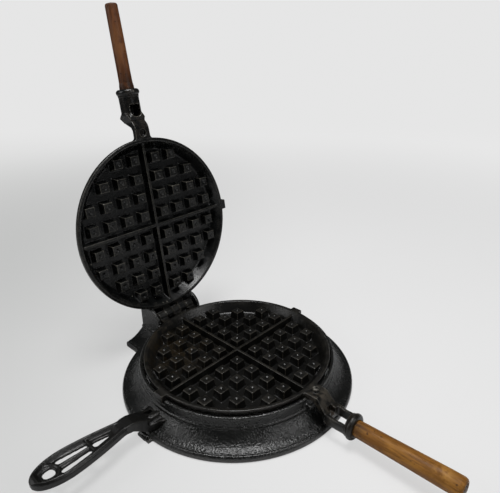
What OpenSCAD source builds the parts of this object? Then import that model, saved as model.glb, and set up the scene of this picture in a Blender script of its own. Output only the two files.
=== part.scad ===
// Stovetop waffle iron: two hinged cast-iron plates that lift out of a low flared stove base.
// X runs from the hinge to the wooden grips, Y along the hinge pin, Z up from the stove top.
// The origin is the middle of the foot ring. The iron stands open, as it is left to cool.

/* [Waffle plates] */
// Outside diameter of each plate
plate_d = 191.6; // [186:0.2:198]
// Height of the face where the two rims meet, above the stove
part_h = 34.4; // [33:0.1:40]
// Width of the flat rim
rim_w = 3.2; // [2.4:0.1:5]
// Depth of the outer edge of the rim
rim_t = 4.6; // [3.5:0.1:6]
// How far the stud tops lie below the rim
stud_drop = 4; // [2:0.1:5]
// Height of the studs
stud_h = 8.5; // [6:0.1:9.5]
// Thickness of the pan under the studs
floor_t = 4; // [3:0.1:5]

/* [Stud pattern] */
// Distance from stud to stud
stud_pitch = 20.4; // [19:0.1:21]
// Distance from a dividing rib to the first row of studs
stud_first = 13.1; // [12:0.1:14]
// Width of a stud at its top
stud_top = 9.8; // [7:0.1:11]
// Width of a stud at its root
stud_root = 12.6; // [11.5:0.1:14]
// Diameter of the dimple in each stud
dimple_d = 4.2; // [2.5:0.1:6]
// Depth of the dimple
dimple_depth = 0.9; // [0.4:0.1:1.5]
// Width of a dividing rib at its top
rib_top = 2.6; // [2:0.1:4]
// Width of a dividing rib at its root
rib_root = 4.8; // [4:0.1:7]

/* [Hinge] */
// Gap between the rim and the middle of the hinge pin
hinge_reach = 9; // [8:0.1:10]
// Diameter of the hinge pin
pin_d = 4.8; // [4:0.1:5.4]
// Radial clearance of the pin in the upper knuckles
pin_fit = 0.06; // [0.03:0.01:0.1]
// Diameter of the three lower knuckles
knuckle_low_d = 11; // [9.5:0.1:12]
// Diameter of the two upper knuckles
knuckle_up_d = 10; // [9:0.1:11]
// Width of one knuckle
knuckle_w = 9.4; // [8:0.1:9.8]
// Gap between neighbouring knuckles
knuckle_gap = 0.4; // [0.3:0.05:1]
// Angle between the closed and the open upper plate
open_angle = 97.6; // [90:0.1:98]

/* [Yokes] */
// Width of the tab that joins a plate to its yoke
tab_w = 17.6; // [14:0.1:19]
// Thickness of the tab
tab_t = 5.4; // [4.5:0.1:6]
// Distance from the middle of the plate to the seat of the grip
grip_x = 146.5; // [144:0.1:155]
// How far the grip lies off the meeting face
grip_drop = 15.5; // [14.5:0.1:17]
// Width of the lower yoke across its bars, and diameter of the upper yoke
barrel_d = 20.6; // [19.6:0.1:21.4]
// Height of the two bars of the lower yoke
bar_h = 9; // [8.8:0.1:12]
// Outside diameter of the bead round the grip
bead_d = 24.2; // [23:0.1:27]
// Width of the bead along the grip
bead_w = 6.4; // [5:0.1:7]
// Gap between the two bars
window_w = 14; // [12:0.1:14.4]
// Length of the gap
window_l = 17.4; // [13:0.1:18]
// Width of the hole through the upper yoke
eye_w = 12; // [11:0.1:13]
// Length of the hole through the upper yoke
eye_l = 12.4; // [12:0.1:15]
// Distance from the grip to the hole through the upper yoke
eye_set = 15.6; // [13:0.1:17]
// Diameter of the peg on the lower tab
peg_d = 6.8; // [5:0.1:7.5]
// How far the peg stands above its tab
peg_h = 3.2; // [2:0.1:3.8]
// Upward slope of the lower grip
lower_rise = 1.7; // [0:0.1:2.5]
// Backward slope of the upper grip
upper_rise = -0.7; // [-1.5:0.1:1.5]

/* [Grips] */
// Length of the lower wooden grip
lower_grip_l = 92; // [75:1:110]
// Length of the upper wooden grip
upper_grip_l = 81; // [75:1:110]
// Diameter of the lower grip next to the yoke
lower_neck_d = 15; // [14:0.1:16.5]
// Largest diameter of the lower grip
lower_grip_d = 17; // [16:0.1:20]
// Diameter of the flare of the upper grip next to the yoke
upper_neck_d = 15.3; // [14.4:0.1:16.5]
// Diameter of the upper grip at its tip
upper_tip_d = 12.4; // [12:0.1:15]
// Diameter of the long grip bolts
bolt_d = 4.8; // [4:0.1:5.5]
// Side of the square nuts
nut_w = 8.6; // [8:0.1:9]
// Thickness of the square nuts
nut_t = 3; // [2.4:0.1:3.4]

/* [Stove base] */
// Outside diameter of the foot
foot_d = 240; // [232:1:260]
// Height of the top of the ring
ring_h = 30.4; // [29.5:0.1:31]
// Thickness of the ring and its skirt
wall = 3.5; // [3:0.1:4.5]
// Gap between the plates and the inside of the ring
ring_gap = 1; // [0.8:0.1:1.4]
// Depth of the straight band above the skirt
band_h = 11; // [9:0.1:12]
// Height of the bead round the foot
foot_bead = 6.4; // [5.6:0.1:7]

/* [Hinge cup] */
// Gap between the ends of the hinge and the cheeks of the cup
cup_gap = 2.7; // [1.5:0.1:4]
// Height of the cheeks of the cup
cheek_h = 46.2; // [42:0.1:46.4]
// Distance from the middle of the ring to the back of the cup
cup_x = 129; // [127:0.5:135]
// Half width of the square foot plate behind the ring
tail_w = 55; // [52:0.5:60]

/* [Base handle] */
// Distance from the middle of the ring to the tip of the handle
handle_reach = 219.5; // [205:0.5:240]
// Greatest width of the handle
handle_w = 29; // [26:0.5:34]
// Height of the upper edge of the handle above the stove
handle_top = 26.5; // [24:0.5:29]
// Height of the border rail
rail_h = 8.5; // [7.5:0.5:10]
// Width of the border rail
rail_w = 4.5; // [3.5:0.25:5]
// Width of the hang hole
hang_w = 9.4; // [8:0.1:10.5]

/* [Hidden] */
$fn = 96;

plate_r = plate_d / 2;
foot_r = foot_d / 2;
hinge_x = -(plate_r + hinge_reach);
floor_z = -(stud_drop + stud_h);
back_z = floor_z - floor_t;
pan_r = plate_r - rim_w - 7;
ring_ri = plate_r + ring_gap;
ring_ro = ring_ri + wall;
skirt_top = ring_h - band_h;
groove_z = foot_bead + 0.3;
seat_gap = 0.2;
meet = 0.1;
side_gap = 0.8;
lug_w = 11;
lug_t = 9;
lug_reach = plate_r + 5.4;
barrel_x0 = grip_x - 24.5;
peg_x = plate_r + 5.8;
knuckle_step = knuckle_w + knuckle_gap;
hinge_w = 5 * knuckle_w + 4 * knuckle_gap;
cup_w = hinge_w + 2 * cup_gap;
grip_seat = 2;
washer_t = 1.2;
washer_d = 10;
recess = 2.6;
lower_set = 7.4;
root_z = 12;
stub_d = 7;
neck_y = -140;
leaf_l = handle_reach + neck_y;
neck_half = 7.2;
web_drop = 3.2;
web_t = 2.4;
edge = 1.8;
iron = [0.13, 0.13, 0.125];
rusty = [0.2, 0.165, 0.14];
steel = [0.36, 0.34, 0.32];
pale_wood = [0.56, 0.37, 0.19];
dark_wood = [0.3, 0.15, 0.09];

// Plates, drawn closed with the meeting face at zero and the pan below it

// Revolved body of the pan, with its rim, sloping wall and flat back
module pan_body() {
    rotate_extrude()
        polygon([
            [0, floor_z], [pan_r - 1.6, floor_z], [pan_r, floor_z + 1],
            [plate_r - rim_w - 1, -1.1], [plate_r - rim_w, -meet],
            [plate_r - 0.6, -meet], [plate_r, -meet - 0.6], [plate_r, -rim_t + 0.6], [plate_r - 0.6, -rim_t],
            [plate_r - rim_w + 0.4, -rim_t - 1.2], [pan_r + 0.4, back_z + 1.6],
            [pan_r - 1.6, back_z], [0, back_z]
        ]);
}

// Straight ridge with sloping flanks along Y, top and root widths given
module ridge(top_w, root_w, height, length) {
    translate([0, length / 2, 0])
        rotate([90, 0, 0])
            linear_extrude(length)
                polygon([
                    [-root_w / 2, 0], [root_w / 2, 0], [top_w / 2, height], [-top_w / 2, height]
                ]);
}

// Filled inside of the pan, reaching halfway into its floor and wall
module pan_filling() {
    rotate_extrude()
        polygon([
            [0, floor_z - floor_t / 2], [pan_r, floor_z - floor_t / 2], [plate_r - rim_w + 0.6, -2.6],
            [0, -2.6]
        ]);
}

// Crossed rows of ridges that leave square studs, thirteen in each of the four fields
module stud_rows() {
    rows = [for (s = [-1, 1], i = [0:3]) s * (stud_first + i * stud_pitch)];
    sink = 1;
    root = stud_root + sink * (stud_root - stud_top) / stud_h;
    near = 2 * (stud_first + 1.5 * stud_pitch);
    middle = 2 * (stud_first + 2.5 * stud_pitch);
    intersection() {
        translate([0, 0, floor_z - sink])
            for (x = rows)
                translate([x, 0, 0])
                    ridge(stud_top, root, stud_h + sink, plate_d);
        translate([0, 0, floor_z - sink])
            rotate([0, 0, 90])
                for (x = rows)
                    translate([x, 0, 0])
                        ridge(stud_top, root, stud_h + sink, plate_d);
        linear_extrude(4 * stud_h, center = true)
            union() {
                square([plate_d, near], center = true);
                square([near, plate_d], center = true);
                square([middle, middle], center = true);
            }
    }
}

// Small round hollow in the middle of each stud
module stud_dimples() {
    for (sx = [-1, 1], sy = [-1, 1], i = [0:3], j = [0:3])
        if (i + j < 5)
            translate([sx * (stud_first + i * stud_pitch), sy * (stud_first + j * stud_pitch),
                       -stud_drop - dimple_depth])
                cylinder(d1 = dimple_d / 3, d2 = dimple_d + 0.5, h = dimple_depth + 0.1, $fn = 32);
}

// The two dividing ribs that cross in the middle
module dividing_ribs() {
    translate([0, 0, floor_z - 1]) {
        ridge(rib_top, rib_root, stud_h + 1, plate_d);
        rotate([0, 0, 90])
            ridge(rib_top, rib_root, stud_h + 1, plate_d);
    }
}

// Pan with its studs and ribs
module waffle_pan() {
    difference() {
        union() {
            pan_body();
            intersection() {
                pan_filling();
                union() {
                    stud_rows();
                    dividing_ribs();
                }
            }
        }
        stud_dimples();
    }
}

// Plan outline of the tab, the sloping neck and the shoulders of the yoke
module yoke_plan() {
    side = [
        [plate_r - 2, tab_w / 2 + 4], [plate_r - 0.4, tab_w / 2 + 1.6], [plate_r + 0.8, tab_w / 2 + 0.3],
        [plate_r + 4, tab_w / 2], [barrel_x0 - 9, tab_w / 2 - 0.6], [barrel_x0 - 4, barrel_d / 2 - 0.8],
        [barrel_x0, barrel_d / 2], [barrel_x0 + 4, barrel_d / 2]
    ];
    last = len(side) - 1;
    polygon(concat(side, [for (i = [last:-1:0]) [side[i][0], -side[i][1]]]));
}

// Side outline of the same piece: flat tab, then a neck that drops to the bars
module yoke_side(height) {
    top = -grip_drop + height / 2;
    bottom = -grip_drop - height / 2;
    polygon([
        [plate_r - 1.6, -0.5], [plate_r + 12, -0.5], [plate_r + 14.5, -1.6],
        [plate_r + 19, min(-5.6, top + 3.6)], [barrel_x0 - 3, top + 0.4], [barrel_x0 + 1, top + 0.6],
        [barrel_x0 + 4, top - 0.2],
        [barrel_x0 + 4, bottom + 0.2], [barrel_x0, bottom - 0.8], [barrel_x0 - 4, bottom],
        [plate_r + 17, bottom + 5.5], [plate_r + 12, -tab_t - 3], [plate_r + 8.5, -tab_t - 0.5],
        [plate_r - 4, -tab_t - 0.5]
    ]);
}

// Places what lies along a grip: zero at the seat, X outwards
module along_grip(rise) {
    translate([grip_x, 0, -grip_drop])
        rotate([0, -rise, 0])
            children();
}

// Outline of a hole through a yoke, its corners rounded at the plate end
module yoke_hole(w, l, set, corner) {
    translate([-set - l + corner, -w / 2])
        square([l - corner, w]);
    translate([-set - l, -w / 2 + corner])
        square([corner + 1, w - 2 * corner]);
    for (s = [-1, 1])
        translate([-set - l + corner, s * (w / 2 - corner)])
            circle(r = corner);
}

// Yoke of a given height with its neck, end bead, seat for the grip and bolt hole.
// The children draw the hole through it, whose end wall stands back from the grip by set.
module yoke(rise, height, set, neck_d) {
    barrel_l = grip_x - barrel_x0;
    difference() {
        union() {
            intersection() {
                linear_extrude(80, center = true)
                    yoke_plan();
                rotate([90, 0, 0])
                    linear_extrude(60, center = true)
                        yoke_side(height);
            }
            along_grip(rise) {
                intersection() {
                    translate([-barrel_l - 2, 0, 0])
                        rotate([0, 90, 0])
                            cylinder(d = barrel_d + 0.4, h = barrel_l + 1);
                    translate([-barrel_l - 2, -barrel_d / 2, -height / 2])
                        cube([barrel_l + 1, barrel_d, height]);
                }
                translate([-lower_set, 0, 0])
                    rotate([0, 90, 0])
                        cylinder(d = barrel_d + 1, h = 4);
                rotate([0, 90, 0])
                    rotate_extrude()
                        union() {
                            translate([(bead_d - bead_w) / 2, -bead_w / 2])
                                circle(d = bead_w);
                            translate([0, -bead_w])
                                square([(bead_d - bead_w) / 2, bead_w]);
                        }
            }
        }
        along_grip(rise) {
            linear_extrude(2 * barrel_d, center = true)
                children();
            translate([-set - 4, 0, 0])
                rotate([0, 90, 0])
                    cylinder(d = bolt_d + 0.4, h = set + 12);
            translate([-set - 1, -nut_w / 2 - 0.2, -nut_w / 2 - 0.2])
                cube([nut_t + 1, nut_w + 0.4, nut_w + 0.4]);
            translate([-grip_seat, 0, 0])
                rotate([0, 90, 0])
                    cylinder(d = neck_d + 0.3, h = 10);
        }
    }
}

// Square recess in the neck of the lower yoke, open towards the gap
module neck_pocket() {
    pocket = 6.6;
    along_grip(lower_rise)
        translate([-lower_set - window_l - pocket + 1.5, -pocket / 2, 0.6])
            cube([pocket, pocket, bar_h]);
}

// Hinge knuckles on a row of places along the pin, with the webs that carry them
module knuckles(places, d, bore) {
    difference() {
        for (k = places)
            translate([0, k * knuckle_step, 0]) {
                translate([hinge_x, knuckle_w / 2, 0])
                    rotate([90, 0, 0])
                        cylinder(d = d, h = knuckle_w);
                translate([hinge_x, knuckle_w / 2, 0])
                    rotate([90, 0, 0])
                        linear_extrude(knuckle_w)
                            polygon([
                                [0, -d / 2], [hinge_reach + 3.3, -d / 2 - 0.4],
                                [hinge_reach + 3.3, -0.4], [0, -0.4]
                            ]);
            }
        translate([hinge_x, hinge_w, 0])
            rotate([90, 0, 0])
                cylinder(d = bore, h = 2 * hinge_w);
    }
}

// Side lug that rests in a notch of the ring, at the +Y or the -Y end of the cross rib
module side_lug(dir) {
    rotate([0, 0, dir * 90])
        rotate([90, 0, 0])
            linear_extrude(lug_w, center = true)
                polygon([
                    [plate_r - 1.5, -0.4], [lug_reach - 0.6, -0.4], [lug_reach, -1], [lug_reach, -lug_t + 1.6],
                    [lug_reach - 1.6, -lug_t], [plate_r - 5.8, -lug_t], [plate_r - 2.4, -3]
                ]);
}

// Lower casting: pan, studs, yoke with its peg, two side lugs and three knuckles
module lower_plate_shape() {
    union() {
        waffle_pan();
        difference() {
            yoke(lower_rise, bar_h, lower_set, lower_neck_d)
                yoke_hole(window_w, window_l, lower_set, 2);
            neck_pocket();
        }
        side_lug(1);
        side_lug(-1);
        knuckles([-2, 0, 2], knuckle_low_d, pin_d);
        translate([peg_x, 0, -1])
            cylinder(d = peg_d, h = peg_h + 0.5 - peg_d / 4);
        translate([peg_x, 0, peg_h - 0.5 - peg_d / 4])
            intersection() {
                sphere(d = peg_d);
                cylinder(d = peg_d, h = peg_d / 4);
            }
    }
}

// Upper casting: the same pan turned over, with a socket for the peg and two knuckles
module upper_plate_shape() {
    difference() {
        union() {
            waffle_pan();
            yoke(upper_rise, barrel_d, eye_set, upper_neck_d)
                yoke_hole(eye_w, eye_l, eye_set, 5);
            side_lug(-1);
            knuckles([-1, 1], knuckle_up_d, pin_d + 2 * pin_fit);
        }
        translate([peg_x, 0, -peg_h - 0.4])
            cylinder(d = peg_d + 1, h = peg_h + 2);
    }
}

// Sets the lower pieces at their height in the base
module set_lower() {
    translate([0, 0, part_h])
        children();
}

// Turns the upper pieces over and swings them open about the hinge pin
module set_upper() {
    translate([hinge_x, 0, part_h])
        rotate([0, -open_angle, 0])
            translate([-hinge_x, 0, 0])
                rotate([180, 0, 0])
                    children();
}

// Grips, bolts, nuts and washers, drawn along X from the seat

// Turned grip that swells towards its rounded end, bored for the bolt
module lower_grip_shape() {
    l = lower_grip_l;
    r0 = lower_neck_d / 2;
    r1 = lower_grip_d / 2;
    turned([
        [0, r0], [0.12 * l, r0 + 0.12], [0.3 * l, r0 + 0.3], [0.5 * l, r0 + 0.55],
        [0.7 * l, r0 + 0.8], [0.86 * l, r1], [l - 3, r1 - 0.1], [l - 1, r1 - 0.8], [l, r1 - 2.2]
    ]);
}

// Slim tapering grip with a flare at the yoke, worn thin by long use
module upper_grip_shape() {
    l = upper_grip_l;
    r0 = upper_neck_d / 2;
    r1 = upper_tip_d / 2;
    turned([
        [0, r0], [0.03 * l, r0 - 0.1], [0.08 * l, r0 - 0.7], [0.2 * l, r0 - 0.9],
        [0.5 * l, (r0 + r1) / 2 - 0.3], [0.8 * l, r1 + 0.2], [l - 1.6, r1], [l - 0.4, r1 - 0.5],
        [l, r1 - 1]
    ]);
}

// Revolves a profile of (length, radius) points and bores it for bolt, washer and head
module turned(profile) {
    l = profile[len(profile) - 1][0];
    rotate([0, 90, 0])
        difference() {
            translate([0, 0, -grip_seat])
                rotate_extrude()
                    polygon(concat(
                        [[0, 0], [profile[0][1], 0]],
                        [for (p = profile) [p[1], p[0] + grip_seat]],
                        [[0, l + grip_seat]]
                    ));
            translate([0, 0, -10])
                cylinder(d = bolt_d + 0.3, h = l + 20);
            translate([0, 0, l - recess])
                cylinder(d = washer_d + 0.4, h = 10);
        }
}

// Long bolt with a domed slotted head in the end of the grip and its thread in the nut
module grip_bolt(l, set) {
    head_z = l - recess + washer_t;
    head_r = 4.2;
    start = -set + 0.3;
    rotate([0, 90, 0])
        difference() {
            union() {
                translate([0, 0, start])
                    cylinder(d = bolt_d, h = head_z - start + 0.1);
                translate([0, 0, head_z])
                    rotate_extrude()
                        polygon([
                            [0, 0], [head_r, 0], [head_r, 0.7], [head_r - 0.7, 1.5],
                            [head_r - 2, 2.1], [0, 2.3]
                        ]);
            }
            translate([-5, -0.5, head_z + 1.2])
                cube([10, 1, 2]);
        }
}

// Square nut let into the end wall of the yoke
module grip_nut(set) {
    corner = 0.8;
    h = nut_w / 2;
    rotate([0, 90, 0])
        translate([0, 0, -set])
            difference() {
                linear_extrude(nut_t)
                    polygon([
                        [-h, -h + corner], [-h + corner, -h], [h - corner, -h], [h, -h + corner],
                        [h, h - corner], [h - corner, h], [-h + corner, h], [-h, h - corner]
                    ]);
                translate([0, 0, -1])
                    cylinder(d = bolt_d, h = nut_t + 2);
            }
}

// Washer in the recess of a grip, under the bolt head
module grip_washer(l) {
    rotate([0, 90, 0])
        translate([0, 0, l - recess])
            difference() {
                cylinder(d = washer_d, h = washer_t);
                translate([0, 0, -1])
                    cylinder(d = bolt_d, h = washer_t + 2);
            }
}

// Stove base

// Points of the hollow curve of the skirt, from the band out to the foot plate
function flare(r0, z0, r1, z1, n = 6) =
    [for (i = [0:n]) let (t = i / n) [r0 + (r1 - r0) * t, z1 + (z0 - z1) * pow(1 - t, 1.7)]];

// Section of a wall with its skirt: straight at half width w0, spreading to w1 at the foot
module skirt_section(w0, w1, top, knee) {
    polygon(concat(
        [[w0 - wall, top - 0.6], [w0 - wall + 0.6, top], [w0 - 0.8, top], [w0, top - 0.8]],
        [[w0, knee + 2], [w0 + 1.4, knee + 1], [w0 + 1.4, knee - 0.4]],
        flare(w0 + 0.8, knee - 1.4, w1 - 4.2, groove_z),
        [[w1 - 3.6, foot_bead - 0.8], [w1 - 2.7, foot_bead], [w1 - 1.5, foot_bead - 0.1],
         [w1 - 0.5, foot_bead - 1.1], [w1, foot_bead - 2.4], [w1, 0.8], [w1 - 0.6, 0],
         [w1 - 5.4, 0], [w1 - 5.4, 2.4], [w1 - 4.6, 2.6],
         [w1 - 4.8, foot_bead - 2.2]],
        flare_back(w0 - wall, knee - 2, w1 - 7.4, foot_bead - 2),
        [[w0 - wall, knee - 1]]
    ));
}

// The same curve walked from the foot back up the inside
function flare_back(r0, z0, r1, z1, n = 6) =
    let (f = flare(r0, z0, r1, z1, n)) [for (i = [n:-1:0]) f[i]];

// Space inside the ring and its skirt, up to the middle of the wall
module ring_hollow() {
    mid = wall / 2;
    rotate_extrude()
        polygon([
            [0, -1], [foot_r - 4, -1], [foot_r - 4, 1.4], [foot_r - 9, 5.4], [ring_ro + 4, skirt_top - 9],
            [ring_ri + mid, skirt_top - 1], [ring_ri + mid, 60], [0, 60]
        ]);
}

// Straight skirted wall on one side of the hinge cup
module cup_flank() {
    knee = 17.5;
    rotate([90, 0, -90])
        linear_extrude(cup_x)
            skirt_section(cup_w / 2 + wall, tail_w, cheek_h, knee);
}

// Side outline of a cheek: quarter round in front, square behind
module cheek_outline() {
    r = cheek_h - ring_h + 0.5;
    front = ring_ri - 2;
    union() {
        translate([-front - r, cheek_h - r])
            circle(r = r);
        translate([-cup_x - 1, -1])
            square([cup_x - front - r + 1, cheek_h + 2]);
        translate([-cup_x - 1, -1])
            square([cup_x + 1, ring_h]);
    }
}

// Both flanks of the cup, trimmed to the cheek outline and to the outside of the ring
module cup_flanks() {
    difference() {
        intersection() {
            union() {
                cup_flank();
                mirror([0, 1, 0])
                    cup_flank();
            }
            rotate([90, 0, 0])
                linear_extrude(2 * tail_w + 2, center = true)
                    cheek_outline();
        }
        ring_hollow();
    }
}

// Back wall and floor of the cup, hollowed to a round trough for the hinge
module cup_seat() {
    trough_r = cup_w / 2;
    back_top = 33;
    difference() {
        translate([-cup_x, -cup_w / 2 - 1, 0])
            cube([cup_x - 60, cup_w + 2, back_top]);
        translate([-cup_x + wall, 0, part_h])
            rotate([0, 90, 0])
                cylinder(r = trough_r, h = cup_x);
        translate([-cup_x + wall, -cup_w / 2 + wall, -1])
            cube([cup_x, cup_w - 2 * wall, part_h - trough_r - wall + 1]);
        ring_hollow();
    }
}

// Notches in the top edge of the ring for the side lugs, the tab and the knuckles
module ring_notches() {
    lug_floor = part_h - lug_t - seat_gap;
    tab_floor = part_h - tab_t - 0.5 - seat_gap;
    knuckle_floor = part_h - knuckle_low_d / 2 - 0.4 - seat_gap;
    lug_notch = lug_w + 4;
    translate([-lug_notch / 2, -ring_ro - 10, lug_floor])
        cube([lug_notch, 2 * ring_ro + 20, 40]);
    translate([plate_r - 10, -tab_w / 2 - side_gap, tab_floor])
        cube([40, tab_w + 2 * side_gap, 40]);
    translate([-cup_x + wall, -hinge_w / 2 - side_gap, knuckle_floor])
        cube([cup_x - plate_r + 10, hinge_w + 2 * side_gap, 40]);
}

// Small upturned prongs that keep the neck of the yoke centred over its notch
module saddle_prongs() {
    inner = tab_w / 2 + side_gap;
    for (s = [-1, 1])
        translate([ring_ro - 1, s * (inner + 1.6), skirt_top - 1])
            rotate([90, 0, 0])
                linear_extrude(3.2, center = true)
                    polygon([[0, 0], [3.5, 0], [6.4, 3.6], [6.4, 6.4], [5.2, 7.6], [0, 7.6]]);
}

// Rough lug at the foot below the root of the handle
module foot_lug() {
    rotate([0, 0, -87])
        translate([foot_r - 4, 0, 0])
            union() {
                translate([0, -10, 0])
                    cube([8.4, 16, 3.2]);
                translate([0, -9, 0])
                    cube([6.4, 9, 4.6]);
            }
}

// Low ring with its band, hollow skirt, foot bead, hinge cup and saddle
module base_ring_shape() {
    difference() {
        union() {
            difference() {
                rotate_extrude()
                    skirt_section(ring_ro, foot_r, ring_h, skirt_top);
                translate([-cup_x, -cup_w / 2, -1])
                    cube([cup_x - ring_ro - 1, cup_w, ring_h + 2]);
            }
            cup_flanks();
            cup_seat();
            saddle_prongs();
            foot_lug();
        }
        ring_notches();
        handle_socket();
    }
}

// Hole in the skirt for the stub of the base handle
module handle_socket() {
    translate([0, -ring_ro - 9, root_z])
        rotate([90, 0, 0])
            cylinder(d = stub_d, h = 40, center = true);
}

// Base handle, in the style of a skillet handle

// Half width of the leaf at a distance from its tip
function leaf_half(u) =
    let (t = u / leaf_l)
    t < 0.36 ? handle_w / 2 * sqrt(1 - pow(1 - t / 0.36, 2.1))
             : handle_w / 2 - (handle_w / 2 - neck_half) * pow((t - 0.36) / 0.64, 1.5);

// Outline of the leaf drawn in by a margin
module leaf_outline(margin) {
    n = 22;
    blunt = 2;
    pts = [for (i = [0:n]) let (u = leaf_l * pow(i / n, 1.4))
           if (u >= margin || i == n) [max(leaf_half(u) - margin, blunt), -handle_reach + u]];
    polygon(concat(pts, [for (i = [len(pts) - 1:-1:0]) [-pts[i][0], pts[i][1]]]));
}

// Hang hole, a rounded four-sided opening close to the tip
module hang_hole() {
    y = -handle_reach + 14.5;
    h = hang_w / 2;
    polygon([
        [-h + 2.6, y - 4.6], [h - 2.6, y - 4.6], [h - 0.8, y - 3], [h, y + 0.8], [h - 0.4, y + 3],
        [h - 2, y + 4.4], [0, y + 4.8], [-h + 2, y + 4.4], [-h + 0.4, y + 3], [-h, y + 0.8],
        [-h + 0.8, y - 3]
    ]);
}

// One long slot, rounded at both ends, leaning towards the middle at the neck
module long_slot(side) {
    y0 = -handle_reach + 25;
    y1 = -handle_reach + 47;
    r0 = 2.6;
    r1 = 1.9;
    x0 = side * 5.6;
    x1 = side * 3.9;
    translate([x0, y0])
        circle(r = r0);
    translate([x1, y1])
        circle(r = r1);
    polygon([[x0 - r0, y0], [x0 + r0, y0], [x1 + r1, y1], [x1 - r1, y1]]);
}

// Tear-shaped opening between the slots and the neck
module tear() {
    y0 = -handle_reach + 55;
    y1 = -handle_reach + 67;
    translate([0, y0])
        circle(r = 3);
    polygon([[-3, y0], [3, y0], [0.8, y1], [-0.8, y1]]);
}

// Low ridges cast on the web: a spine between the slots, one across and one round the hang hole
module web_ridges(web_z) {
    y = -handle_reach + 14.5;
    translate([-1.1, -handle_reach + 23, web_z - 1])
        cube([2.2, 27, 2.2]);
    translate([-handle_w / 2, -handle_reach + 49.4, web_z - 1])
        cube([handle_w, 2.2, 2.6]);
    translate([0, 0, web_z - 1])
        linear_extrude(2)
            difference() {
                translate([0, y])
                    circle(r = hang_w / 2 + 4);
                translate([0, y])
                    circle(r = hang_w / 2 + 2.4);
                translate([-handle_w, y - 2 * handle_w])
                    square([2 * handle_w, 2 * handle_w]);
            }
}

// Leaf with rounded-over border and a thin pierced web between its upper and lower edges
module handle_leaf() {
    z0 = handle_top - rail_h;
    web_z = handle_top - web_drop;
    difference() {
        hull() {
            translate([0, 0, z0])
                linear_extrude(0.1)
                    leaf_outline(edge);
            translate([0, 0, z0 + edge])
                linear_extrude(rail_h - 2 * edge)
                    leaf_outline(0);
            translate([0, 0, handle_top - 0.1])
                linear_extrude(0.1)
                    leaf_outline(edge);
        }
        difference() {
            hull() {
                translate([0, 0, web_z])
                    linear_extrude(0.1)
                        leaf_outline(rail_w + 0.8);
                translate([0, 0, handle_top])
                    linear_extrude(1)
                        leaf_outline(rail_w - 1.4);
            }
            web_ridges(web_z);
        }
        hull() {
            translate([0, 0, z0 - 1])
                linear_extrude(1)
                    leaf_outline(rail_w - 1.2);
            translate([0, 0, web_z - web_t - 0.1])
                linear_extrude(0.1)
                    leaf_outline(rail_w + 0.8);
        }
        translate([0, 0, z0 - 1])
            linear_extrude(rail_h + 4) {
                hang_hole();
                long_slot(-1);
                long_slot(1);
                tear();
            }
    }
}

// Side outline of the shank: a hump behind the leaf, then down to the skirt
module shank_side() {
    top = handle_top;
    low = handle_top - rail_h;
    ring = -ring_ro - 0.5;
    polygon([
        [neck_y - 9, low + 1.2], [neck_y - 9, top - web_drop], [neck_y - 4, top - 0.6],
        [neck_y + 2, top + 0.1], [neck_y + 8, top], [neck_y + 14, top - 1.8], [neck_y + 20, top - 5],
        [neck_y + 27, top - 9], [neck_y + 33, top - 11.2], [ring, top - 11.8],
        [ring, 1.5], [ring - 10, 2], [neck_y + 25, 4.6],
        [neck_y + 19, 9], [neck_y + 13, 13], [neck_y + 7, low - 0.6], [neck_y, low + 0.6]
    ]);
}

// Plan outline of the shank, forked where it meets the skirt
module shank_plan() {
    ring = -ring_ro;
    difference() {
        polygon([
            [1 - neck_half, neck_y - 9], [neck_half - 1, neck_y - 9], [neck_half - 0.4, neck_y + 6],
            [neck_half, neck_y + 16], [8.4, neck_y + 24], [11, ring - 9], [14, ring - 3], [14, ring],
            [-14, ring], [-14, ring - 3], [-11.5, ring - 9], [-8.6, neck_y + 24],
            [-neck_half, neck_y + 16], [-neck_half + 0.4, neck_y + 6]
        ]);
        polygon([[-8.6, ring - 5], [-3.4, ring - 5.4], [-3, ring - 10], [-4.4, ring - 16],
                 [-5.8, ring - 16], [-7.6, ring - 11]]);
    }
}

// Shank between leaf and skirt, grooved on top where it spreads
module handle_shank() {
    difference() {
        intersection() {
            linear_extrude(handle_top + 2)
                shank_plan();
            rotate([90, 0, 90])
                linear_extrude(60, center = true)
                    shank_side();
        }
        rotate_extrude()
            translate([0, -1])
                skirt_blank();
        for (x = [1.6, 8.2])
            translate([x, -ring_ro - 7, handle_top - 9.8])
                rotate([90, 0, 0])
                    cylinder(d = 4.6, h = 22, center = true);
    }
}

// Outside form of ring and skirt, filled, that the root of the handle is fitted against
module skirt_blank() {
    fit = 0.05;
    polygon(concat(
        [[0, 0], [foot_r + fit, 0], [foot_r + fit, foot_bead - 1.4 + fit],
         [foot_r - 0.5 + fit, foot_bead - 0.1 + fit], [foot_r - 1.5 + fit, foot_bead + 0.9 + fit],
         [foot_r - 2.7, foot_bead + 1 + fit]],
        [for (p = flare_back(ring_ro + 0.8, skirt_top - 1.4, foot_r - 4.2, groove_z))
            [p[0] + fit, p[1] + 1 + fit]],
        [[ring_ro + 1.4 + fit, skirt_top + 0.6], [ring_ro + 1.4 + fit, skirt_top + 2 + fit],
         [ring_ro + fit, skirt_top + 3 + fit], [ring_ro + fit, 60], [0, 60]]
    ));
}

// Stub by which the handle is set into the skirt
module handle_stub() {
    translate([0, -ring_ro - 13, root_z])
        rotate([-90, 0, 0])
            cylinder(d = stub_d, h = 14.5);
}

module base_handle_shape() {
    union() {
        handle_leaf();
        handle_shank();
        handle_stub();
    }
}

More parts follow.
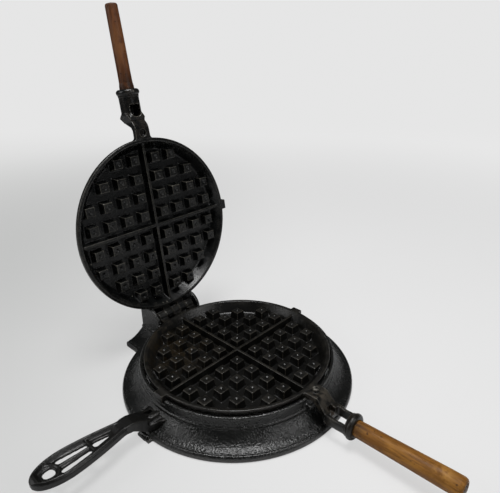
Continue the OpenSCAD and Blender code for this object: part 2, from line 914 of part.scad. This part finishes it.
module base_ring() { color(iron) base_ring_shape(); }
module base_handle() { color(iron) base_handle_shape(); }
module lower_plate() { color(iron) set_lower() lower_plate_shape(); }
module upper_plate() { color(iron) set_upper() upper_plate_shape(); }
module hinge_pin() {
    color(steel)
        set_lower()
            translate([hinge_x, hinge_w / 2 + 0.8, 0])
                rotate([90, 0, 0])
                    cylinder(d = pin_d, h = hinge_w + 1.6);
}
module lower_grip() { color(pale_wood) set_lower() along_grip(lower_rise) lower_grip_shape(); }
module upper_grip() { color(dark_wood) set_upper() along_grip(upper_rise) upper_grip_shape(); }
module lower_grip_bolt() { color(rusty) set_lower() along_grip(lower_rise) grip_bolt(lower_grip_l, lower_set); }
module upper_grip_bolt() { color(rusty) set_upper() along_grip(upper_rise) grip_bolt(upper_grip_l, eye_set); }
module lower_grip_nut() { color(rusty) set_lower() along_grip(lower_rise) grip_nut(lower_set); }
module upper_grip_nut() { color(rusty) set_upper() along_grip(upper_rise) grip_nut(eye_set); }
module lower_grip_washer() { color(steel) set_lower() along_grip(lower_rise) grip_washer(lower_grip_l); }
module upper_grip_washer() { color(steel) set_upper() along_grip(upper_rise) grip_washer(upper_grip_l); }

base_ring();
base_handle();
lower_plate();
upper_plate();
hinge_pin();
lower_grip();
upper_grip();
lower_grip_bolt();
upper_grip_bolt();
lower_grip_nut();
upper_grip_nut();
lower_grip_washer();
upper_grip_washer();
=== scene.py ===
import bpy
import math
from mathutils import Matrix, Vector

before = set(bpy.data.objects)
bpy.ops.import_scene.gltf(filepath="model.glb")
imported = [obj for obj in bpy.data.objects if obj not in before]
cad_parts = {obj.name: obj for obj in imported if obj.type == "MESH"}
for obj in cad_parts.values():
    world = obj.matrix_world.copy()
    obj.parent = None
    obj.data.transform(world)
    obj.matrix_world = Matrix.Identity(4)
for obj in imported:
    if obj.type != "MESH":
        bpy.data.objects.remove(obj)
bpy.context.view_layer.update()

# Stove base: a low ring with a hollow flared skirt and, behind, the cup for the hinge. It is grey iron from a
# sand mould, black with years of baked-on oil. Its skirt shows the grain of the sand most, and the lowest 6
# mm of the foot are a lighter grey.


class Wires:
    """Shader nodes of one material, joined up by short calls."""

    def __init__(self, name):
        self.mat = bpy.data.materials.new(name)
        self.mat.use_nodes = True
        self.tree = self.mat.node_tree
        self.tree.nodes.clear()
        self.surface = self.tree.nodes.new("ShaderNodeBsdfPrincipled")
        self.out = self.tree.nodes.new("ShaderNodeOutputMaterial").inputs[0]
        self.tree.links.new(self.surface.outputs[0], self.out)
        self.place = self.tree.nodes.new("ShaderNodeTexCoord").outputs["Object"]

    def put(self, socket, value):
        if isinstance(value, bpy.types.NodeSocket):
            self.tree.links.new(value, socket)
        else:
            socket.default_value = value

    def noise(self, per_metre, detail=4.0, rough=0.6, place=None, distort=0.0):
        node = self.tree.nodes.new("ShaderNodeTexNoise")
        self.put(node.inputs["Vector"], place or self.place)
        node.inputs["Scale"].default_value = per_metre
        node.inputs["Detail"].default_value = detail
        node.inputs["Roughness"].default_value = rough
        node.inputs["Distortion"].default_value = distort
        return node.outputs["Fac"]

    def range(self, value, low, high, out_low=0.0, out_high=1.0):
        node = self.tree.nodes.new("ShaderNodeMapRange")
        node.interpolation_type = "SMOOTHSTEP"
        for i, v in enumerate((value, low, high, out_low, out_high)):
            self.put(node.inputs[i], v)
        return node.outputs[0]

    def reckon(self, kind, a, b):
        node = self.tree.nodes.new("ShaderNodeMath")
        node.operation = kind
        self.put(node.inputs[0], a)
        self.put(node.inputs[1], b)
        return node.outputs[0]

    def times(self, a, b):
        return self.reckon("MULTIPLY", a, b)

    def axis(self, which):
        node = self.tree.nodes.new("ShaderNodeSeparateXYZ")
        self.put(node.inputs[0], self.place)
        return node.outputs[which]

    def near(self, point, reach):
        """1 at a point, falling to 0 at reach."""
        node = self.tree.nodes.new("ShaderNodeVectorMath")
        node.operation = "DISTANCE"
        self.put(node.inputs[0], self.place)
        node.inputs[1].default_value = point
        return self.range(node.outputs["Value"], 0.0, reach, 1.0, 0.0)

    def mix(self, amount, a, b):
        node = self.tree.nodes.new("ShaderNodeMix")
        node.data_type = "RGBA"
        self.put(node.inputs[0], amount)
        for socket, value in ((node.inputs[6], a), (node.inputs[7], b)):
            if isinstance(value, tuple):
                value = (*value, 1.0)
            self.put(socket, value)
        return node.outputs[2]

    def edges(self):
        """0 on flat iron, 1 on an outer edge."""
        sharp = self.tree.nodes.new("ShaderNodeNewGeometry").outputs["Pointiness"]
        return self.range(sharp, 0.51, 0.58)

    def bump(self, height, depth, strength, under=None):
        node = self.tree.nodes.new("ShaderNodeBump")
        node.inputs["Strength"].default_value = strength
        node.inputs["Distance"].default_value = depth
        self.put(node.inputs["Height"], height)
        if under is not None:
            self.put(node.inputs["Normal"], under)
        return node.outputs[0]

    def finish(self, colour, rough, normal=None, metal=0.0, shine=0.5):
        self.put(self.surface.inputs["Base Color"], colour)
        self.put(self.surface.inputs["Roughness"], rough)
        self.surface.inputs["Metallic"].default_value = metal
        self.surface.inputs["Specular IOR Level"].default_value = shine
        if normal is not None:
            self.put(self.surface.inputs["Normal"], normal)
        return self.mat


def cast_iron(name, dark, light, pebble_depth, rough, tints=(), shine=0.38, edge_wear_and_highlight_tone=(0.045, 0.042, 0.036)):
    """Oiled black iron: clouded, specked, tinted where tints say; its edges partly rubbed, partly painted
    highlight.
    """
    iron = Wires(name)
    clouds = iron.range(iron.noise(22.0, 5.0, 0.6), 0.34, 0.7)
    specks = iron.range(iron.noise(900.0, 2.0, 0.7), 0.45, 0.75)
    colour = iron.mix(iron.times(clouds, 0.5), dark, light)
    colour = iron.mix(iron.times(specks, 0.35), colour, light)
    for tone, where, most in tints:
        # Tints go on in patches: some are stains and rust, some are painted highlights on top faces and on
        # the peg.
        tinted_patch = iron.times(where(iron), iron.range(iron.noise(120.0, 4.0, 0.7), 0.42, 0.6))
        colour = iron.mix(iron.times(tinted_patch, most), colour, tone)
    # Edges are lighter: partly rubbed bare iron, partly a painted highlight along each edge.
    edge_wear_and_highlight = iron.times(iron.edges(), iron.range(iron.noise(60.0, 3.0), 0.35, 0.65, 0.4, 1.0))
    colour = iron.mix(iron.times(edge_wear_and_highlight, 0.8), colour, edge_wear_and_highlight_tone)
    dull = iron.range(iron.noise(48.0, 4.0, 0.65), 0.3, 0.7, rough - 0.05, rough + 0.07)
    dull = iron.reckon("SUBTRACT", dull, iron.times(edge_wear_and_highlight, 0.1))
    sand = iron.noise(2400.0, 2.0, 0.6)
    sand_depth = 0.00012
    pebbles = iron.reckon("ADD", iron.noise(640.0, 1.0, 0.4), iron.times(iron.noise(1300.0, 1.0, 0.4), 0.35))
    normal = iron.bump(sand, sand_depth, 0.35)
    normal = iron.bump(pebbles, pebble_depth, 0.9, normal)
    return iron.finish(colour, dull, normal, shine=shine)


def smooth_casting(node, skin_size, passes):
    """The sand mould leaves no sharp edge, so a fine skin rounds the CAD body over."""
    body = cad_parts[node]
    skin = body.modifiers.new("skin", "REMESH")
    skin.mode = "VOXEL"
    skin.voxel_size = skin_size * 1.0
    skin.use_smooth_shade = True
    soft = body.modifiers.new("soft", "SMOOTH")
    soft.factor = 0.5
    soft.iterations = passes
    return body


def paint(body, material):
    body.data.materials.clear()
    body.data.materials.append(material)


# The foot is a lighter grey up to this height.
pale_foot_h = 0.006
base_iron = cast_iron(
    "base iron", (0.003, 0.0032, 0.0028), (0.008, 0.0083, 0.0075), 0.00055, 0.27,
    [((0.035, 0.028, 0.02), lambda iron: iron.range(iron.axis(2), pale_foot_h, 0.0, 0.0, 1.0), 0.5)],
    shine=0.6,
)
paint(smooth_casting("base_ring", 0.0006, 2), base_iron)

# Base handle: a casting of its own with a hole to hang it by, let into the skirt with a stub. It is the same
# iron, worn rounder and smoother by the hand, and bright at the seam where it meets the ring.
handle_seam = (0.0, -0.103, 0.012)
handle_iron = cast_iron(
    "handle iron", (0.0034, 0.0033, 0.003), (0.0085, 0.0081, 0.0072), 0.00016, 0.33,
    [((0.1, 0.095, 0.08), lambda iron: iron.near(handle_seam, 0.009), 0.4)],
)
paint(smooth_casting("base_handle", 0.0006, 3), handle_iron)

# Lower waffle plate: a shallow iron pan with square studs, cast in one with the yoke that holds its grip.
# Use has browned its left field and its yoke; its top faces, edges and the peg on its tab have painted
# highlights.
lower_rim_z = 0.0304
lower_yoke = (0.098, 0.108)
lower_peg = (0.1016, 0.0, 0.0385)


def above(iron, facing, point, low, high):
    """0 to 1 as the height over a point, measured along a direction, goes from low to high."""
    node = iron.tree.nodes.new("ShaderNodeVectorMath")
    node.operation = "DOT_PRODUCT"
    iron.put(node.inputs[0], iron.place)
    node.inputs[1].default_value = facing
    start = sum(f * p for f, p in zip(facing, point))
    return iron.range(node.outputs["Value"], start + low, start + high)


lower_iron = cast_iron(
    "lower plate iron", (0.0026, 0.0025, 0.0022), (0.0075, 0.0072, 0.006), 0.00016, 0.31,
    [
        # Painted highlight: the tops of the rim, ribs and studs are lighter.
        ((0.016, 0.0145, 0.012),
         lambda iron: above(iron, (0.0, 0.0, 1.0), (0.0, 0.0, lower_rim_z), -0.0012, 0.0), 0.8),
        ((0.034, 0.022, 0.008), lambda iron: iron.near((-0.05, -0.04, 0.03), 0.055), 0.5),
        ((0.034, 0.03, 0.023), lambda iron: iron.range(iron.axis(0), *lower_yoke), 0.7),
        ((0.075, 0.064, 0.05), lambda iron: iron.near((0.107, 0.0, 0.036), 0.018), 0.8),
        ((0.03, 0.018, 0.012), lambda iron: iron.near((0.122, 0.0, 0.02), 0.012), 0.5),
        ((0.007, 0.005, 0.004), lambda iron: iron.near((0.146, 0.0, 0.02), 0.03), 0.9),
        # Painted highlight: a near-white glint on the peg of the tab.
        ((0.5, 0.48, 0.43), lambda iron: iron.near(lower_peg, 0.0045), 1.0),
    ],
    # This light edge tone is partly rubbed iron and partly a painted highlight on the stud edges.
    edge_wear_and_highlight_tone=(0.1, 0.088, 0.07),
)
paint(smooth_casting("lower_plate", 0.0005, 1), lower_iron)

# Upper waffle plate: the same pan, leaning back open on its hinge. It is blacker and glossier, with painted
# highlights on the tops of its rim, ribs and studs and on their edges (partly rubbed), and its yoke is a
# round barrel with a blind hole for the nut of the grip.
hinge = (-0.1048, 0.0, 0.0344)
opening = math.radians(97.6)
stud_side = (math.sin(opening), 0.0, -math.cos(opening))
upper_yoke = (0.232, 0.242)
upper_iron = cast_iron(
    "upper plate iron", (0.0022, 0.0024, 0.0024), (0.0058, 0.0066, 0.0066), 0.00016, 0.25,
    [
        # Painted highlight: the tops of the rim, ribs and studs are lighter.
        ((0.014, 0.0135, 0.012), lambda iron: above(iron, stud_side, hinge, -0.0052, -0.004), 0.8),
        ((0.02, 0.016, 0.012), lambda iron: iron.range(iron.axis(2), *upper_yoke), 0.6),
    ],
    # Most of this bright edge tone is a painted highlight on the stud edges; the rest is rubbed iron.
    edge_wear_and_highlight_tone=(0.22, 0.205, 0.17),
)


def round_yoke(node, metal):
    """Trims the neck of a yoke round like its barrel, and walls the hole in it off at the back."""
    grip_seat = (0.1465, 0.0, -0.0155)
    grip_lean = math.radians(0.7)
    barrel_r = 0.01045
    neck = Matrix.Translation(hinge) @ Matrix.Rotation(-opening, 4, "Y")
    neck = neck @ Matrix.Translation((-hinge[0], 0.0, 0.0)) @ Matrix.Rotation(math.pi, 4, "X")
    neck = neck @ Matrix.Translation(grip_seat) @ Matrix.Rotation(grip_lean, 4, "Y")
    group = bpy.data.node_groups.new("round yoke", "GeometryNodeTree")
    group.interface.new_socket("Geometry", in_out="INPUT", socket_type="NodeSocketGeometry")
    group.interface.new_socket("Geometry", in_out="OUTPUT", socket_type="NodeSocketGeometry")
    nodes, wire = group.nodes, group.links.new

    def placed(kind, at, **sizes):
        shape = nodes.new(kind)
        for key, value in sizes.items():
            shape.inputs[key.replace("_", " ")].default_value = value
        move = nodes.new("GeometryNodeTransform")
        where = neck @ at
        move.inputs["Translation"].default_value = where.to_translation()
        move.inputs["Rotation"].default_value = where.to_euler()
        wire(shape.outputs["Mesh"], move.inputs["Geometry"])
        coat = nodes.new("GeometryNodeSetMaterial")
        coat.inputs["Material"].default_value = metal
        wire(move.outputs["Geometry"], coat.inputs["Geometry"])
        return coat.outputs["Geometry"]

    def behind_seat(distance):
        """The middle of a round form that lies along the barrel, this far behind the seat of the grip."""
        return Matrix.Translation((-distance, 0.0, 0.0)) @ Matrix.Rotation(math.pi / 2, 4, "Y")

    def without(body, *cutters):
        cut = nodes.new("GeometryNodeMeshBoolean")
        cut.operation = "DIFFERENCE"
        cut.solver = "EXACT"
        wire(body, cut.inputs["Mesh 1"])
        for cutter in cutters:
            wire(cutter, cut.inputs["Mesh 2"])
        return cut.outputs["Mesh"]

    block = placed("GeometryNodeMeshCylinder", behind_seat(0.0205), Vertices=48, Radius=0.022, Depth=0.023)
    barrel = placed("GeometryNodeMeshCylinder", behind_seat(0.014), Vertices=64, Radius=barrel_r, Depth=0.034)
    flare = placed("GeometryNodeMeshCone", behind_seat(0.0355), Vertices=60,
                   Radius_Bottom=0.0176, Radius_Top=0.0102, Depth=0.012)
    back_wall = placed("GeometryNodeMeshCube", Matrix.Translation((-0.0225, 0.0, -0.00675)),
                       Size=(0.0146, 0.0126, 0.0043))
    weld = nodes.new("GeometryNodeMergeByDistance")
    weld.inputs["Distance"].default_value = 0.000001
    wire(nodes.new("NodeGroupInput").outputs[0], weld.inputs["Geometry"])
    joined = nodes.new("GeometryNodeJoinGeometry")
    wire(back_wall, joined.inputs[0])
    wire(without(weld.outputs[0], without(block, barrel, flare)), joined.inputs[0])
    wire(joined.outputs[0], nodes.new("NodeGroupOutput").inputs[0])
    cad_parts[node].modifiers.new("round yoke", "NODES").node_group = group


round_yoke("upper_plate", upper_iron)
paint(smooth_casting("upper_plate", 0.0005, 1), upper_iron)

# Wooden grips: turned and oiled, ochre below and dark red-brown above, the grain running along them. The heat
# has charred each one where it meets the iron; a pale patch on it is a painted highlight, and its end is
# darker.


def grip_wood(name, pale, deep, dark, along, char_at, char_len, rough, highlight_and_dark_end):
    wood = Wires(name)

    def along_grip(finer):
        node = wood.tree.nodes.new("ShaderNodeMapping")
        wood.put(node.inputs["Vector"], wood.place)
        node.inputs["Scale"].default_value = [v * finer for v in along]
        return node.outputs[0]

    fibres = wood.noise(1.0, 6.0, 0.66, along_grip(1.0), 0.5)
    colour = wood.mix(wood.range(fibres, 0.36, 0.64), deep, pale)
    pores = wood.range(wood.noise(1.0, 3.0, 0.8, along_grip(3.1)), 0.56, 0.7)
    colour = wood.mix(wood.times(pores, 0.55), colour, dark)
    tinted_patch = wood.range(wood.noise(38.0, 4.0, 0.6), 0.42, 0.7)
    colour = wood.mix(wood.times(tinted_patch, 0.6), colour, deep)
    # The first entry is a painted highlight patch, the second makes the end darker.
    for tone, spot, reach, most in highlight_and_dark_end:
        patch = wood.times(wood.near(spot, reach), wood.range(wood.noise(90.0, 4.0, 0.7), 0.38, 0.56))
        colour = wood.mix(wood.times(patch, most), colour, tone)
    char = wood.times(wood.near(char_at, char_len), wood.range(wood.noise(140.0, 4.0, 0.7), 0.25, 0.6))
    colour = wood.mix(char, colour, (0.012, 0.008, 0.006))
    pits = wood.range(wood.noise(230.0, 2.0, 0.5), 0.66, 0.72)
    colour = wood.mix(wood.times(pits, 0.75), colour, dark)
    normal = wood.bump(fibres, 0.0005, 0.7)
    normal = wood.bump(pores, 0.0003, 0.5, normal)
    gloss = wood.range(wood.noise(90.0, 3.0), 0.3, 0.7, rough - 0.08, rough + 0.12)
    return wood.finish(colour, gloss, normal, shine=0.2)


paint(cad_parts["lower_grip"], grip_wood(
    "lower grip wood", (0.34, 0.152, 0.026), (0.18, 0.072, 0.012), (0.06, 0.022, 0.006),
    along=(30.0, 330.0, 330.0), char_at=(0.1455, 0.0, 0.02), char_len=0.0185, rough=0.42,
    highlight_and_dark_end=[
        # A painted highlight patch, then the darker end.
        ((0.5, 0.25, 0.055), (0.222, -0.004, 0.03), 0.013, 0.8),
        ((0.07, 0.03, 0.01), (0.2425, 0.0, 0.02), 0.0125, 0.8),
    ]))
paint(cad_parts["upper_grip"], grip_wood(
    "upper grip wood", (0.15, 0.056, 0.021), (0.075, 0.027, 0.011), (0.022, 0.009, 0.005),
    along=(330.0, 330.0, 30.0), char_at=(-0.1534, 0.0, 0.2814), char_len=0.024, rough=0.4,
    highlight_and_dark_end=[
        # A painted highlight patch, then the darker end.
        ((0.24, 0.1, 0.035), (-0.152, -0.006, 0.325), 0.03, 0.6),
        ((0.035, 0.016, 0.01), (-0.166, 0.0, 0.366), 0.015, 0.85),
    ]))

# Hardware: a mild-steel pin through the hinge knuckles and, through each grip, a long bolt with a square nut
# in the yoke and a washer under its head. All of it is bare steel, dulled and spotted with rust.


def old_steel(name, metal_tone, rust, much, rough):
    steel = Wires(name)
    spots = steel.range(steel.noise(260.0, 5.0, 0.7), 0.6 - 0.3 * much, 0.75 - 0.2 * much)
    colour = steel.mix(spots, metal_tone, rust)
    gloss = steel.range(spots, 0.0, 1.0, rough, 0.8)
    normal = steel.bump(steel.noise(900.0, 4.0, 0.7), 0.0002, 0.6)
    return steel.finish(colour, gloss, normal, metal=0.6)


pin_steel = old_steel("pin steel", (0.05, 0.047, 0.043), (0.05, 0.022, 0.012), 0.5, 0.4)
bolt_steel = old_steel("bolt steel", (0.16, 0.14, 0.12), (0.12, 0.045, 0.02), 0.6, 0.4)
nut_steel = old_steel("nut steel", (0.12, 0.1, 0.08), (0.11, 0.04, 0.018), 0.7, 0.45)
washer_steel = old_steel("washer steel", (0.42, 0.4, 0.37), (0.16, 0.08, 0.04), 0.3, 0.35)
paint(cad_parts["hinge_pin"], pin_steel)
for side in ("lower", "upper"):
    paint(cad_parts[side + "_grip_bolt"], bolt_steel)
    paint(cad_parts[side + "_grip_nut"], nut_steel)
    paint(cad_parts[side + "_grip_washer"], washer_steel)

# Table and wall: a pale table top that runs on into a pale wall of nearly the same tone. What the camera sees
# of them is held even but for a painted shade that darkens the table towards the left; beyond that only the
# soft shadow of the iron falls on the table, and under the base it is left dark.
table_reach = 9.0
table_mesh = bpy.data.meshes.new("floor")
table_mesh.from_pydata(
    [(x * table_reach, y * table_reach, 0.0) for x, y in ((-1, -1), (1, -1), (1, 1), (-1, 1))],
    [], [(0, 1, 2, 3)])
table_top = bpy.data.objects.new("floor", table_mesh)
bpy.context.collection.objects.link(table_top)
table = Wires("pale table")
to_right, to_back = (0.717, 0.697), (-0.697, 0.717)
under_foot, past_foot = 0.117, 0.121


def along_table(direction):
    x, y = direction
    return table.reckon("ADD", table.times(table.axis(0), x), table.times(table.axis(1), y))


# Painted shade: the table darkens towards the left.
tone = table.mix(table.range(along_table(to_right), -0.42, 0.16), (0.6, 0.605, 0.6), (0.83, 0.83, 0.83))
tone = table.mix(table.range(along_table(to_back), 0.2, 1.6), tone, (0.79, 0.79, 0.79))
table.finish(tone, 0.6, shine=0.2)
outward = table.tree.nodes.new("ShaderNodeVectorMath")
outward.operation = "LENGTH"
table.put(outward.inputs[0], table.place)
from_middle = outward.outputs["Value"]
glow = table.tree.nodes.new("ShaderNodeEmission")
table.put(glow.inputs[0], tone)
even = table.times(
    table.range(from_middle, 0.4, 1.4, 0.72, 1.0), table.range(from_middle, under_foot, past_foot))
seen = table.tree.nodes.new("ShaderNodeLightPath").outputs["Is Camera Ray"]
held = table.tree.nodes.new("ShaderNodeMixShader")
table.put(held.inputs[0], table.times(seen, even))
table.put(held.inputs[1], table.surface.outputs[0])
table.put(held.inputs[2], glow.outputs[0])
table.put(table.out, held.outputs[0])
paint(table_top, table.mat)

world = bpy.data.worlds.new("studio")
bpy.context.scene.world = world
world.use_nodes = True
air = world.node_tree
room = air.nodes["Background"]
room.inputs[0].default_value = (0.95, 0.97, 1.0, 1.0)
room.inputs[1].default_value = 0.06
wall = air.nodes.new("ShaderNodeBackground")
wall.inputs[0].default_value = (0.79, 0.79, 0.79, 1.0)
air_mix = air.nodes.new("ShaderNodeMixShader")
air.links.new(air.nodes.new("ShaderNodeLightPath").outputs["Is Camera Ray"], air_mix.inputs[0])
air.links.new(room.outputs[0], air_mix.inputs[1])
air.links.new(wall.outputs[0], air_mix.inputs[2])
air.links.new(air_mix.outputs[0], air.nodes["World Output"].inputs[0])

# Lights: three square soft boxes, one high over the middle of the base and one lower on each side, that give
# the black iron its broad grey sheen.


def soft_box(name, where, target, size, power):
    lamp = bpy.data.lights.new(name, "AREA")
    lamp.size = size
    lamp.energy = power
    box = bpy.data.objects.new(name, lamp)
    box.location = where
    box.rotation_euler = (Vector(target) - Vector(where)).to_track_quat("-Z", "Y").to_euler()
    bpy.context.collection.objects.link(box)


soft_box("high soft box", (0.04, -0.04, 1.2), (0.0, 0.0, 0.05), 0.45, 9.5)
soft_box("left soft box", (-0.55, -1.0, 0.7), (0.0, 0.0, 0.1), 0.6, 3.6)
soft_box("right soft box", (1.2, 0.2, 0.9), (0.0, 0.0, 0.05), 0.6, 4.0)

# Camera: where the photographer stood, over the side between the base handle and the lower grip, a little
# above the open iron and looking down on it, with the camera held slightly off level.
lens = bpy.data.cameras.new("camera")
lens.sensor_width = 36.0
lens.sensor_fit = "HORIZONTAL"
lens.lens = 34.24
lens.clip_start = 0.01
camera = bpy.data.objects.new("camera", lens)
camera_place = (0.29944, -0.28576, 0.32787)
turn = math.radians(44.21)
tip = math.radians(23.63)
roll = math.radians(-0.99)
back = Vector((math.sin(turn) * math.cos(tip), -math.cos(turn) * math.cos(tip), math.sin(tip)))
level = Vector((math.cos(turn), math.sin(turn), 0.0))
upright = back.cross(level)
right = math.cos(roll) * level + math.sin(roll) * upright
up = -math.sin(roll) * level + math.cos(roll) * upright
camera.matrix_world = Matrix.Translation(camera_place) @ Matrix((right, up, back)).transposed().to_4x4()
bpy.context.collection.objects.link(camera)
bpy.context.scene.camera = camera
bpy.context.scene.view_settings.view_transform = "Standard"
